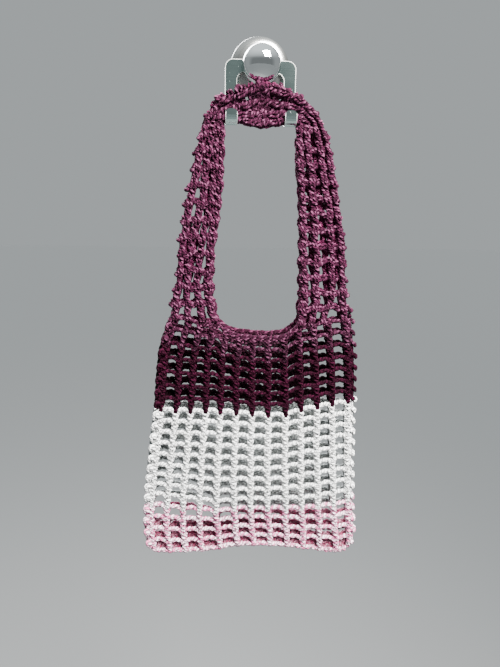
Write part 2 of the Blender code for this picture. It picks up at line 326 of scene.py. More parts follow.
# %% The four yarns
# Per yarn: ply colours, stray fibres, painted shade in the grooves, the painted tint inside the bag
# (below 1 painted shade, above 1 painted light), and the mauve's painted shade down in the bag.
YARN_LOOKS = {
    "pink": dict(
        plies=((0.80, 0.47, 0.59), (0.62, 0.15, 0.31), (0.88, 0.68, 0.76)),
        flecks=0.34, groove=0.80, painted_inside_tint=(0.42, 0.22, 0.28),
    ),
    "white": dict(
        plies=((0.86, 0.86, 0.85), (0.84, 0.84, 0.83), (0.92, 0.92, 0.91)),
        flecks=0.40, groove=1.0, painted_inside_tint=(0.27, 0.29, 0.29),
    ),
    "plum": dict(
        plies=((0.0110, 0.0003, 0.0040), (0.014, 0.0005, 0.0052), (0.022, 0.0010, 0.0086)),
        flecks=0.35, groove=0.60, painted_inside_tint=(0.40, 0.30, 0.38), sheen=0.0, specular=0.06,
    ),
    "mauve": dict(
        plies=((0.021, 0.0020, 0.0100), (0.038, 0.0056, 0.0195), (0.098, 0.027, 0.059)),
        flecks=0.36, groove=0.36, painted_inside_tint=(2.40, 1.86, 2.16), sheen=0.0, specular=0.08,
        painted_bag_shade=(-0.285, -0.235, 0.46),
    ),
}
# A copy of each yarn for the front net, the seams and the back net; the nets' copies paint shade,
# or light, on the faces that look into the bag.
YARNS = {
    (colour, side): yarn(f"{colour} yarn {side + 2}", side, **looks)
    for colour, looks in YARN_LOOKS.items()
    for side in (-1, 0, 1)
}
print("yarns:", list(YARN_LOOKS))

# %% [markdown]
# ## The hook's metal and plastic
# The plate is cut from polished steel sheet, with a faint grain from its rolling and dull
# spots where drops of water dried. Its greenish grey tint is a painted reflection, and the
# bright line along its edges is a painted highlight. The cover and the knob are chrome
# plated. The cover was spun, so it has faint rings about its axis, and the knob is smoother;
# each has one step drawn darker, as painted shade. The cup is clear soft plastic, cloudy with age.

# %% Polished steel
PLATE_HALF, PLATE_TOP, PLATE_CORNER = 0.0353, 0.0059, 0.008  # of the plate's outline, in metres
LEG, BRIDGE = 0.0118, 0.0114  # widths of its legs and of the bridge over them
EDGE_HIGHLIGHT_WIDTH = 0.0007  # width of the painted highlight along its edges
SPOT = 0.72  # noise above this is a spot or a pit


def polished_steel():
    """Rolled, polished sheet: grain, dried drops, a painted reflection's tint, a painted highlight
    on its outline.
    """
    finish = Finish("polished steel sheet", Metallic=1.0)
    place = finish.place()
    long_grain = {"Vector": place, "Scale": (40.0, 400.0, 1400.0)}
    grain = finish.noise(1.0, 3.0, finish.node("ShaderNodeMapping", None, long_grain))
    cloud, spots = finish.noise(38.0, 3.0), finish.noise(330.0, 1.0)
    marks = finish.clamped((spots - SPOT) * 14.0)
    x, _, z = finish.parts(place)
    # Painted highlight: a bright, less metallic, rougher line along the outer and inner outlines.
    edge = 0.0
    outer, inner = (PLATE_HALF, PLATE_TOP, 1.0), (PLATE_HALF - LEG, PLATE_TOP - BRIDGE, -1.0)
    for half, top, sign in (outer, inner):
        aside = (x.math("ABSOLUTE") - (half - PLATE_CORNER)).math("MAXIMUM", 0.0)
        above = (z - (top - PLATE_CORNER)).math("MAXIMUM", 0.0)
        outside = (aside * aside + above * above) ** 0.5 - PLATE_CORNER
        edge = finish.clamped((outside * sign + EDGE_HIGHLIGHT_WIDTH) * 2500.0).math("MAXIMUM", edge)
    # Painted reflection: the greenish grey mix, with the dried spots on top.
    tint = finish.mix(cloud, (0.41, 0.55, 0.52, 1), (0.60, 0.74, 0.70, 1))
    tint = finish.mix(marks * 0.5, tint, (0.62, 0.65, 0.63, 1))
    finish.set("Base Color", finish.mix(edge, tint, (0.74, 0.75, 0.71, 1)))
    finish.set("Metallic", 1.0 - edge * 0.5)
    finish.set("Roughness", 0.06 + cloud * 0.08 + marks * 0.2 + grain * 0.04 + edge * 0.25)
    finish.set("Normal", finish.bump(grain * 0.5 + cloud * 0.5, 0.00005))
    return finish.material


# %% Chrome and soft plastic


def chrome(name, shade, rough, step, wear):
    """Bright plate: a step about the axis where it was spun, bumped and drawn darker as painted
    shade, hazy wipes, and tiny pits.
    """
    finish = Finish(name, Metallic=1.0)
    x, _, z = finish.parts(finish.place())
    distance = (x * x + z * z) ** 0.5
    brushed = (distance * 9000.0).math("SINE") * 0.5 + 0.5
    ring = finish.clamped(1.0 - ((distance - step) * 1500.0).math("ABSOLUTE"))
    haze, pits = finish.noise(45.0, 4.0, roughness=0.6), finish.noise(900.0, 1.0)
    specks = finish.clamped((pits - SPOT) * 12.0)
    light, dark = (*shade, 1), (*(0.75 * c for c in shade), 1)
    # The step is darkened in the colour as painted shade; haze and pits are the metal's own.
    finish.set("Base Color", finish.mix(haze * 0.6 + specks * 0.4 + ring * 0.7, light, dark))
    finish.set("Roughness", rough + haze * wear + specks * 0.15)
    relief = ring * 0.6 + brushed * wear * 0.3 + haze * wear
    finish.set("Normal", finish.bump(relief, wear * 0.001))
    return finish.material


def cloudy_plastic():
    """Clear soft plastic: dusty patches and a faint grain on a shiny skin."""
    finish = Finish("clear soft plastic", Transmission_Weight=0.55, IOR=1.45)
    dust, grain = finish.noise(70.0, 4.0), finish.noise(700.0, 2.0)
    finish.set("Base Color", finish.mix(dust, (0.70, 0.75, 0.74, 1), (0.88, 0.90, 0.89, 1)))
    finish.set("Roughness", 0.18 + dust * 0.25)
    finish.set("Normal", finish.bump(grain * 0.5 + dust, 0.0001))
    return finish.material


SATIN = chrome("satin chrome cover", (0.40, 0.40, 0.385), 0.20, 0.024, 0.08)
BRIGHT = chrome("bright chrome knob", (0.78, 0.80, 0.80), 0.02, 0.0165, 0.02)
HOOK = {"hook_plate": polished_steel(), "suction_cup": cloudy_plastic()}
for node, material in HOOK.items():
    for slot in bpy.data.objects[node].material_slots:
        slot.material = material
print("finished nodes:", list(HOOK))

# %% [markdown]
# ## The hanging cloth as a function
# Both nets and the strap loop lie on smooth surfaces. A few tables say where their edges
# hang, in millimetres, and a cubic curve runs through the rows of each.

# %% Tables of the hanging shape
LAYER, SEAM_GAP = 4.0, 0.3
SEAM_Y = -18.0
BELLY = {-1: 9.0, 1: 5.5}  # front is -1, back is 1
BELLY_START, RIPPLE = 0.35, 1.2
RIM_Z, RIM_TILT, BACK_RIM_LIFT = -272.5, -1.5, 2.0
FOOT = 0.25  # share of the body's top edge that one strap's foot takes

# line, outer x, outer z, inner x, inner z, outer y, inner y, how far the layers stand open
STRAP = (
    (0, -97, -258, -40, -260, -18, -18, 1),
    (1, -92, -237, -43.5, -237, -18, -18, 0.6),
    (2, -86.5, -216, -46.8, -216, -18, -18, 0.3),
    (4, -82, -174, -45, -174, -18, -18, 0.16),
    (6, -76, -132, -39.5, -132, -18, -18, 0.12),
    (8, -66.5, -91, -36.8, -90, -18, -18, 0.1),
    (9, -62, -72, -36.6, -70, -18, -17.5, 0.06),
    (10, -54, -49, -36.5, -53.4, -19, -17.5, 0),
    (11, -38, -29, -22.5, -53.4, -22, -17.5, 0),
    (12, -14, -21, -7.5, -56.6, -26, -17.5, 0.05),
    (13, 10, -20, 7.5, -56.6, -26, -17.5, 0.05),
    (14, 36, -28, 22.5, -53.4, -22, -17.5, 0),
    (15, 58, -46, 36.5, -53.4, -19, -17.5, 0),
    (16, 70, -71, 36.6, -70, -18, -17.5, 0.06),
    (17, 74.5, -91, 37.3, -90, -18, -18, 0.1),
    (19, 83, -132, 41.6, -132, -18, -18, 0.12),
    (21, 91, -174, 42.4, -174, -18, -18, 0.16),
    (23, 96, -216, 44.2, -216, -18, -18, 0.3),
    (24, 100, -237, 44, -237, -18, -18, 0.6),
    (25, 106.5, -256, 41, -260, -18, -18, 1),
)
STRAP_END = 25
# share of the body's height, left x, left z, right x, right z
SIDES = (
    (0, -124, -521, 121.5, -532),
    (0.08, -127, -500, 122.5, -510),
    (0.22, -126.3, -464, 119, -471),
    (0.46, -119, -400, 115.3, -405),
    (0.68, -111.5, -343, 113.8, -344),
    (0.82, -108.3, -305, 112.5, -306),
    (0.91, -104.5, -281, 110, -280),
    (1, -97, -258, 106.5, -256),
)
# share of the body's width, x, z
BOTTOM = (
    (0, -124, -521),
    (0.06, -111, -529),
    (0.33, -45, -528.5),
    (0.46, -12, -524.5),
    (0.63, 30, -528),
    (0.8, 72, -537),
    (0.94, 107, -545.5),
    (1, 121.5, -532),
)
print("rows of the tables:", len(STRAP), len(SIDES), len(BOTTOM))

# %% Curves through tables


def through(table, at):
    """A cubic through the table's rows, whose slope at a row is that between its neighbours."""
    table = np.array(table, float)
    knots, rows = table[:, 0], table[:, 1:]
    number = np.arange(len(knots))
    before, after = np.maximum(number - 1, 0), np.minimum(number + 1, len(knots) - 1)
    slope = (rows[after] - rows[before]) / (knots[after] - knots[before])[:, None]
    low = np.clip(np.searchsorted(knots, at, side="right") - 1, 0, len(knots) - 2)
    span = (knots[low + 1] - knots[low])[..., None]
    t = (at - knots[low])[..., None] / span
    start, end = rows[low], rows[low + 1]
    leave, arrive = slope[low] * span, slope[low + 1] * span
    bend = (3 * (end - start) - 2 * leave - arrive) * t**2
    return start + leave * t + bend + (2 * (start - end) + leave + arrive) * t**3


def paired(first, second):
    """Two arrays of numbers, brought to one shape."""
    return np.broadcast_arrays(np.asarray(first, float), np.asarray(second, float))


def ease(t):
    """Smooth step: 3 t squared less 2 t cubed, held between 0 and 1."""
    t = np.clip(t, 0, 1)
    return t * t * (3 - 2 * t)


def lerp(start, end, share):
    """Straight line from start to end."""
    return start + (end - start) * share[..., None]


def stand_off(side, share):
    """How far a net stands from the bag's middle: half a layer, and its share of the belly."""
    return side * ((LAYER + SEAM_GAP) / 2 + BELLY[side] * share)


print("the strap's first row:", through(STRAP, np.array(0.0))[:4])

# %% [markdown]
# ## Cover and knob
# The cover was spun and the knob turned, so each is one profile swept round the cup's axis.
# The CAD solids have few sides, which a mirror finish would show as facets, so these finer
# shapes of the same sizes stand for them. A profile runs down the outer side of the piece,
# and on along its inside or underside.

# %% Profiles of the cover and the knob
# number of the row, radius, distance from the wall
COVER_DOME = (
    (0, 3.6, 9),
    (1, 13, 8.7),
    (2, 20, 7.6),
    (3, 25.5, 5.6),
    (4, 29, 2.9),
    (5, 29.8, 1.5),
)
COVER_WALL, COVER_DEPTH, COVER_LIP = 1.0, 1.1, 2.8
KNOB_RADIUS, KNOB_SPRING, KNOB_HEIGHT = 19.0, 16.0, 32.5
KNOB_BELOW = (  # rim, underside and shank
    (19.0, 13.4), (17.8, 12.5), (11.5, 11.6), (6.0, 10.8), (2.9, 10.8), (2.9, 3.3), (0.0, 3.3),
)


def cover_profile():
    """The dome's outer curve, its rim, and the same curve inside, nearer the axis and the wall."""
    dome = through(COVER_DOME, np.linspace(0, 5, 36))
    inside = dome[dome[:, 1] > COVER_LIP][::-1]
    nearer = np.minimum(inside[:, 0] - dome[0, 0], COVER_WALL)
    rim = [dome[-1] - (COVER_WALL, 0.0)]
    return np.concatenate((dome, rim, inside - np.stack((nearer, 0 * nearer + COVER_DEPTH), -1)))


def knob_profile():
    """A quarter of an ellipse, (radius sin a, spring + rise cos a), and on down to the shank."""
    a, rise = np.linspace(0, TURN / 4, 33), KNOB_HEIGHT - KNOB_SPRING
    dome = np.stack((KNOB_RADIUS * np.sin(a), KNOB_SPRING + rise * np.cos(a)), -1)
    return np.concatenate((dome, KNOB_BELOW))


# %% Turned pieces
TURN_SIDES, SHARP = 96, np.radians(35)  # a bend past SHARP shows as an edge


def fit(name, mesh, finish, slot, *nodes):
    """A finished piece of the part that stands for some of its nodes."""
    mesh.materials.append(finish)
    piece = add(name, mesh)
    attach(piece, "root")
    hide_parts(*nodes)
    return piece


def turned_piece(name, node, profile, finish):
    """A profile swept round the Y axis: (radius cos a, -distance, radius sin a)."""
    angle = TURN * np.arange(TURN_SIDES) / TURN_SIDES
    radius, distance = profile[:, :1], profile[:, 1:]
    x, z = radius * np.cos(angle), radius * np.sin(angle)
    points = np.stack((x, 0 * angle - distance, z), -1)
    ring, side = np.arange(len(profile))[:, None], np.arange(TURN_SIDES)
    if profile[0, 0] == 0:
        ring = ring[:-1]
    after, beside = (ring + 1) % len(profile), (side + 1) % TURN_SIDES
    corners = ((ring, side), (ring, beside), (after, beside), (after, side))
    faces = np.stack([row * TURN_SIDES + place for row, place in corners], -1)
    mesh = bpy.data.meshes.new(name)
    mesh.from_pydata((points.reshape(-1, 3) * MM).tolist(), [], faces.reshape(-1, 4).tolist())
    shape = bmesh.new()
    shape.from_mesh(mesh)
    bmesh.ops.remove_doubles(shape, verts=shape.verts, dist=0.001 * MM)
    bmesh.ops.recalc_face_normals(shape, faces=shape.faces)
    shape.to_mesh(mesh)
    shape.free()
    mesh.shade_smooth()
    mesh.set_sharp_from_angle(angle=SHARP)
    print(name, "has", len(mesh.polygons), "faces")
    fit(name, mesh, finish, "chrome", node)


turned_piece("spun_cover", "cup_cover", cover_profile(), SATIN)
turned_piece("turned_knob", "knob", knob_profile(), BRIGHT)

# %% [markdown]
# ## The surfaces the nets lie on
# The strap's two layers lie on either side of one surface, straight from its outer seam to
# its inner edge. Over the hook the outer seam leans out, with the cube of the distance from
# the inner edge, so the cloth folds over the prongs. The body is blended from its edges.

# %% Strap surface


def strap_middle(line, across):
    """Straight across from the outer to the inner edge, leaning with the cube of (1 - across)."""
    ox, oz, ix, iz, oy, iy, opened = np.moveaxis(through(STRAP, line), -1, 0)
    x = ox + (ix - ox) * across
    y = iy + (oy - iy) * (1 - across) ** 3
    return np.stack((x, y, oz + (iz - oz) * across), -1), opened


def strap_point(line, across, side):
    """The middle surface, moved along its normal by the layer's stand-off."""
    line, across = paired(line, across)
    middle, opened = strap_middle(line, across)
    step = 0.01
    along = strap_middle(line + step, across)[0] - strap_middle(line - step, across)[0]
    edge = strap_middle(line, across + step)[0] - strap_middle(line, across - step)[0]
    backward = unit(np.cross(along, edge))
    return middle + backward * stand_off(side, opened * ease(across))[..., None]


print("strap over the hook, at the front:", strap_point(12.5, 0.5, -1).round(1))

# %% Top of the body


def seam_plane(x, z):
    """Points in the plane of the side seams."""
    return np.stack((x, np.full_like(x, SEAM_Y), z), -1)


def top_point(along, side):
    """The body's top edge: a foot, the rim, which dips with a fourth power, and a foot."""
    left_foot = strap_point(0, np.clip(along / FOOT, 0, 1), side)
    right_foot = strap_point(STRAP_END, np.clip((1 - along) / FOOT, 0, 1), side)
    start, end = strap_point(0.0, 1.0, side), strap_point(STRAP_END, 1.0, side)
    share = np.clip((along - FOOT) / (1 - 2 * FOOT), 0, 1)
    swing = 2 * share - 1
    rim = lerp(start, end, share)
    depth = RIM_Z + (BACK_RIM_LIFT if side > 0 else 0.0) - start[2]
    rim[..., 2] = start[2] + depth * (1 - swing**4) + RIM_TILT * np.sin(np.pi * share) * swing
    rim = np.where((along <= FOOT)[..., None], left_foot, rim)
    return np.where((along >= 1 - FOOT)[..., None], right_foot, rim)


print("rim's middle at the front:", top_point(np.array(0.5), -1).round(1))

# %% Body surface


def body_point(along, height, side):
    """Two opposite edges blended, plus the other two, less the blend of the corners; then belly."""
    along, height = paired(along, height)
    lx, lz, rx, rz = np.moveaxis(through(SIDES, height), -1, 0)
    bx, bz = np.moveaxis(through(BOTTOM, along), -1, 0)
    corner = [seam_plane(*np.array(SIDES[0][i : i + 2], float)) for i in (1, 3)]
    foot = top_point(np.array((0.0, 1.0)), side)
    corners = lerp(lerp(corner[0], corner[1], along), lerp(foot[0], foot[1], along), height)
    point = lerp(seam_plane(bx, bz), top_point(along, side), height)
    point = point + lerp(seam_plane(lx, lz), seam_plane(rx, rz), along) - corners
    share = ease(np.minimum(along, 1 - along) / FOOT) * ease(height / BELLY_START)
    ripple = RIPPLE * np.sin(3 * np.pi * along + 1) * np.sin(np.pi * height)
    point[..., 1] = SEAM_Y + stand_off(side, share) + ripple * share
    return point


print("body's middle at the front:", body_point(0.5, 0.5, -1).round(1))

# %% [markdown]
# ## Rows and columns
# The net counts 12 columns of gaps and 20 rows in the body, and 3 columns in each strap.
# Whole numbers across are post lines and whole numbers upwards are bars, so a gap's middle
# lies on the halves. Small tables say where those middles fall in the hanging cloth.

# %% Tables of the body's net
COLUMNS, ROWS = 12, 20
EDGE = 0.5  # from the outermost post line to the seam, in columns
POST_LINES = np.arange(COLUMNS + 1.0)
# Left seam, middles of the gaps and right seam, in twelfths of the width, at bottom and rim.
GAPS_LOW = (0, 0.9, 1.8, 2.72, 3.7, 4.74, 5.65, 6.56, 7.57, 8.56, 9.5, 10.5, 11.35, COLUMNS)
GAPS_HIGH = (0, 0.76, 1.58, 2.2, 2.98, 4, 5.07, 6.22, 7.43, 8.74, 9.45, 10.25, 11.03, COLUMNS)
# A row of the net, and its share of the body's height at the places in LEVELS_AT.
LEVELS_AT = np.array((0.5, 2.5, 4.5, 6.5, 8.5, 11.5))
LEVELS = (
    (0, 0.002, 0, 0.002, 0, 0.006, 0.026),
    (0.5, 0.026, 0.023, 0.027, 0.023, 0.031, 0.057),
    (4.5, 0.252, 0.244, 0.229, 0.228, 0.236, 0.27),
    (8.5, 0.43, 0.434, 0.44, 0.427, 0.443, 0.471),
    (12.5, 0.628, 0.632, 0.652, 0.638, 0.636, 0.659),
    (14.5, 0.726, 0.728, 0.752, 0.734, 0.729, 0.75),
    (16.5, 0.834, 0.831, 0.845, 0.833, 0.828, 0.843),
    (18.5, 0.95, 0.936, 0.935, 0.927, 0.92, 0.935),
    (19.5, 1, 0.984, 0.98, 0.973, 0.965, 0.985),
    (20, 1.024, 1.003, 0.998, 0.993, 0.989, 1.008),
)
# A row, and how many rows the back net hangs above the front one at the posts BACK_SHIFT_AT.
BACK_SHIFT_AT = np.array((1.0, 2.0, 3.0, 4.0, 6.0, 8.5, 11.0))
BACK_SHIFT = (
    (0, 0, 0, 0, 0, 0, 0, 0),
    (2, 0.6, 0.6, 0.5, 0.42, 0.26, 0.15, 0.1),
    (3.5, 0.76, 0.7, 0.46, 0.3, -0.02, -0.1, -0.02),
    (5.5, 0.6, 0.34, 0.02, -0.06, -0.22, -0.22, -0.1),
    (6.5, 0.45, 0.15, -0.05, -0.13, -0.28, -0.22, -0.1),
    (8.5, 0.45, 0.12, -0.1, -0.15, -0.26, -0.2, -0.1),
    (12.5, 0.22, 0.08, -0.16, -0.16, -0.18, -0.13, -0.08),
    (16.5, 0.28, 0.24, 0.2, 0.08, -0.1, -0.07, -0.05),
    (20, 0, 0, 0, 0, 0, 0, 0),
)
print("gaps in each net of the body:", COLUMNS * ROWS)

# %% The body's net on its surface
SHAKE = 0.04  # of its posts and bars, in columns and rows


def line_share(u, height):
    """Share of the body's width at post line u: low and high spacings, mixed by height."""
    knots = np.concatenate(((-EDGE,), POST_LINES[:-1] + 0.5, (COLUMNS + EDGE,)))
    low, high = np.interp(u, knots, GAPS_LOW), np.interp(u, knots, GAPS_HIGH)
    return (low + (high - low) * np.clip(height, 0, 1)) / COLUMNS


def pick(values, place):
    """One of the values along the last axis."""
    return np.take_along_axis(values, place[..., None], -1)[..., 0]


def over_columns(table, places, v, u):
    """A table's value at row v and post line u: a curve up each place, eased between places."""
    levels = through(table, v)
    place = np.clip(np.searchsorted(places, u, side="right") - 1, 0, len(places) - 2)
    share = ease((u - places[place]) / (places[place + 1] - places[place]))
    return pick(levels, place) + (pick(levels, place + 1) - pick(levels, place)) * share


def wander(u, v, seed):
    """Hand-made unevenness between -1 and 1: three slanting waves of unlike lengths."""
    waves = ((1.9, 1.3, 0.7), (-1.1, 2.3, 2.9), (2.7, -0.8, 4.4))
    return sum(np.sin(a * u + b * v + c * (seed + 1)) for a, b, c in waves) / len(waves)


def body_net(side):
    """The body as a surface of post line and row."""

    def surface(u, v):
        u, v = paired(u, v)
        inside = np.clip(np.minimum(u + EDGE, COLUMNS + EDGE - u), 0, 1)
        if side > 0:
            v = v + over_columns(BACK_SHIFT, BACK_SHIFT_AT, np.clip(v, 0, ROWS), u)
        shaken_u = u + SHAKE * wander(u, v, 3 * side) * inside
        shaken_v = v + SHAKE * wander(u, v, 3 * side + 1) * inside
        height = over_columns(LEVELS, LEVELS_AT, shaken_v, shaken_u)
        return body_point(line_share(shaken_u, height), height, side)

    return surface


row_height = np.linalg.norm(body_net(-1)(6, 11) - body_net(-1)(6, 10))
print(f"one row near the middle is {row_height:.1f} mm high")

# %% Tables of the strap's net
STRAP_COLUMNS = 3
STRAP_TOP = 12.5  # the line of the strap where its two halves meet
STRAP_STARTS = {-1: (0.25, 15), 1: (0.05, 16)}  # first line of a half, and its rows
# A row of the net, and how far across the strap its three gaps' middles lie: at the foot of
# each half, at the top, and between them for a half and a layer (-1 is left or front). The
# back layer hangs askew, so its posts show in some front gaps.
STRAP_FOOT = {-1: (0.5, 0.26, 0.56, 0.78), 1: (0.5, 0.35, 0.65, 0.88)}
STRAP_HEAD = (0.27, 0.62, 0.9)
STRAP_GAPS = {
    (-1, -1): (
        (2, 0.15, 0.44, 0.71), (5, 0.2, 0.5, 0.79), (7, 0.3, 0.63, 0.86),
        (10, 0.32, 0.62, 0.86), (13, 0.4, 0.68, 0.86),
    ),
    (-1, 1): (
        (2, 0.17, 0.44, 0.71), (4, 0.34, 0.5, 0.76), (7, 0.32, 0.6, 0.74),
        (11, 0.33, 0.52, 0.72), (13, 0.42, 0.55, 0.72),
    ),
    (1, -1): (
        (2, 0.2, 0.5, 0.85), (7, 0.14, 0.46, 0.88), (12, 0.2, 0.51, 0.88),
    ),
    (1, 1): (
        (2, 0.26, 0.54, 0.85), (4, 0.34, 0.54, 0.87), (8, 0.4, 0.48, 0.88),
        (12, 0.4, 0.52, 0.88),
    ),
}
# Rows by which the back layer has slipped up, so that its bars show too.
STRAP_SLIP = {-1: 0.0, 1: 0.5}
print("first line and rows of the halves:", STRAP_STARTS)

# %% The strap's net on its surface
SHAKE_U, SHAKE_V = 0.11, 0.17  # of its posts and bars, in columns and rows
WAIST = 0.05  # share by which the outer edge comes in between two bars


def strap_net(side, leg, slipped=True):
    """One half of the strap loop, from its foot to the middle of the top: left is -1, right 1."""
    first, rows = STRAP_STARTS[leg]
    table = (STRAP_FOOT[leg], *STRAP_GAPS[leg, side], (rows, *STRAP_HEAD))
    slip = STRAP_SLIP[leg] if side > 0 and slipped else 0.0

    def surface(u, v):
        u, v = paired(u, v)
        inside = np.clip(np.minimum(v, rows - v), 0, 1)
        shaken_v = v + SHAKE_V * wander(2.3 * u, v, side + 5 * leg) * inside
        shaken_v = shaken_v + slip * ease((v - 3.5) / 3) * ease((rows - v) / 2)
        shaken_u = u + SHAKE_U * wander(u, 1.7 * v, side + 7 * leg)
        gaps = through(table, np.clip(v, 0, rows))
        edge = np.zeros_like(gaps[..., :1])
        places = np.concatenate((edge, gaps, edge + 1), -1)
        cell = np.clip(np.floor(shaken_u + 0.5), 0, STRAP_COLUMNS).astype(int)
        start, end = pick(places, cell), pick(places, cell + 1)
        across = start + (end - start) * (shaken_u + 0.5 - cell)
        across = across * (1 - WAIST * np.sin(np.pi * v) ** 2 * (1 + 0.5 * wander(u, v, leg)))
        line = first + (STRAP_TOP - first) * shaken_v / rows
        return strap_point(line if leg < 0 else STRAP_END - line, across, side)

    return surface


# %% Directions on the cloth


def cloth_frame(cloth, u, v):
    """A point of the cloth with its directions across, upwards and outwards.

    cloth is a surface, and 1 or -1 for the way its front faces.
    """
    (surface, facing), step = cloth, 0.04
    across = unit(surface(u + step, v) - surface(u - step, v))
    up = unit(surface(u, v + step) - surface(u, v - step))
    return surface(u, v), across, up, unit(np.cross(across, up)) * facing


def moved(point, *steps):
    """A point moved by amounts along directions."""
    for amount, direction in steps:
        point = point + amount[..., None] * direction
    return point


# %% [markdown]
# ## Yarn as tubes
# A strand is a round section carried along a path, a little thicker where a ply crests,
# with a cap on each end. Many strands are worked out at once as arrays, and a whole band of
# them becomes one mesh.

# %% Tubes along paths
SIDES_OF_TUBE = 6
TWIST_LENGTH = 9.0  # of the plies, in mm
TWIST_STEP = 0.37  # how much further on the twist of each next strand starts


def tubes(paths, outward, radius):
    """Rings round each path: centre + r cos(a) normal + r sin(a) binormal.

    Gives the points, the faces between rings, the caps, and the UVs of those faces.
    """
    count, length, _ = paths.shape
    tangent = unit(np.gradient(paths, axis=1))
    binormal = unit(np.cross(tangent, outward))
    normal = np.cross(binormal, tangent)
    run = np.linalg.norm(np.diff(paths, axis=1), axis=-1)
    run = np.concatenate((np.zeros((count, 1)), np.cumsum(run, axis=1)), axis=1) / TWIST_LENGTH
    run = run + np.arange(count)[:, None] * TWIST_STEP
    ply_crests, thick_places = np.sin(TURN * PLIES * run), np.sin(TURN * 0.61 * run + 1.7)
    radius = radius * (1 + 0.06 * ply_crests + 0.05 * thick_places)
    corner = np.arange(SIDES_OF_TUBE)
    angle = TURN * corner / SIDES_OF_TUBE
    cos, sin = np.cos(angle)[:, None], np.sin(angle)[:, None]
    ring = cos * normal[:, :, None] + sin * binormal[:, :, None]
    points = paths[:, :, None] + ring * radius[:, :, None, None]
    base = (np.arange(count) * length * SIDES_OF_TUBE)[:, None, None]
    low = base + np.arange(length - 1)[:, None] * SIDES_OF_TUBE
    high, following = low + SIDES_OF_TUBE, (corner + 1) % SIDES_OF_TUBE
    quads = np.stack((low + corner, high + corner, high + following, low + following), -1)
    uv = np.empty((*quads.shape, 2))
    uv[..., 0] = (corner[:, None] + np.array((0, 0, 1, 1))) / SIDES_OF_TUBE
    uv[..., (0, 3), 1], uv[..., (1, 2), 1] = run[:, :-1, None, None], run[:, 1:, None, None]
    first = base[:, 0] + corner
    last = first[:, ::-1] + (length - 1) * SIDES_OF_TUBE
    return points.reshape(-1, 3), quads.reshape(-1, 4), np.concatenate((first, last)), uv.ravel()


# %% A mesh of many strands
CAP_UV = 0.5  # where a cap's corners lie on the UV map


def yarn_piece(name, strands, colour, side, *nodes):
    """One object from many groups of strands, each (paths, outward, radius) in mm."""
    made = [tubes(*group) for group in strands]
    starts = np.cumsum([0] + [len(part[0]) for part in made])
    points = np.concatenate([part[0] for part in made]) * MM
    quads, caps = (np.concatenate([p[i] + s for p, s in zip(made, starts)]) for i in (1, 2))
    uv = np.concatenate([part[3] for part in made] + [np.full(2 * caps.size, CAP_UV)])
    mesh = bpy.data.meshes.new(name)
    mesh.from_pydata(points.tolist(), [], quads.tolist() + caps.tolist())
    mesh.shade_smooth()
    mesh.uv_layers.new(name="yarn").data.foreach_set("uv", uv.astype(np.float32))
    area = sum(polygon.area for polygon in mesh.polygons)
    triangles = 2 * len(quads) + (SIDES_OF_TUBE - 2) * len(caps)
    print(f"{name}: {triangles} triangles, {area * 1e4:.0f} cm2")
    return fit(name, mesh, YARNS[colour, side], colour + "_yarn", *nodes)


# %% [markdown]
# ## The stitches
# A bar is a chain, which looks like a plait: three strands, each a third of a turn behind
# the last, swing up and down once a column and in and out twice. A post has two legs that
# spring from a point in the stitch below and spread towards the bar above, a core behind
# them, and strands slanting across its front.

# %% Plaits
BAR_POINTS = 14  # of each strand's path, for one column


def steps(count, start=0, end=1):
    """Numbers from start to end along a path, as one row."""
    return np.linspace(start, end, count)[None, :]


def plait(centre, up, out, stitch, radius, swing, depth):
    """Three strands: up by swing sin(a), out by depth sin(2a), where a is a turn a stitch."""
    turns = [TURN * (stitch + third / 3) for third in range(3)]
    moves = [((swing * np.sin(a), up), (depth * np.sin(2 * a), out)) for a in turns]
    return [(moved(centre, *move), out, radius) for move in moves]


def bars(cloth, levels, start, end, radius, swing, depth, rise, lift=0.0):
    """Plaits along rows, raised by lift, and between two posts by rise sin2(pi u) more."""
    u = steps(int(round((end - start) * BAR_POINTS)) + 1, start, end)
    level = np.asarray(levels, float)[:, None]
    point, _, up, out = cloth_frame(cloth, u, level)
    uneven = 1 + 0.25 * wander(2 * u, 3 * level, 11)
    point = moved(point, (lift + rise * uneven * np.sin(np.pi * u) ** 2, up))
    return plait(point, up, out, u + 0.31 * level, radius, swing, depth)


def uprights(cloth, line, start, end, radius, swing, depth, stitches, samples):
    """A plait along a post line, from one row up to another, of so many stitches a row."""
    v = steps(int(round((end - start) * samples)) + 1, start, end)
    point, across, _, out = cloth_frame(cloth, np.array([[line]]), v)
    return plait(point, across, out, v * stitches + 0.4 * line, radius, swing, depth)


# %% Posts
FOOT_BELOW = 0.16  # a post springs from this far below the bar, in rows, except along the bottom
POST_POINTS, WRAP_POINTS = 8, 5
WRAPS = ((0.92, 0.50), (0.55, 0.16))  # start and end of each wrap, as shares of a row


def every(lines, rows):
    """Each line with each row, as two columns."""
    return (grid.ravel()[:, None] for grid in np.meshgrid(lines, rows))


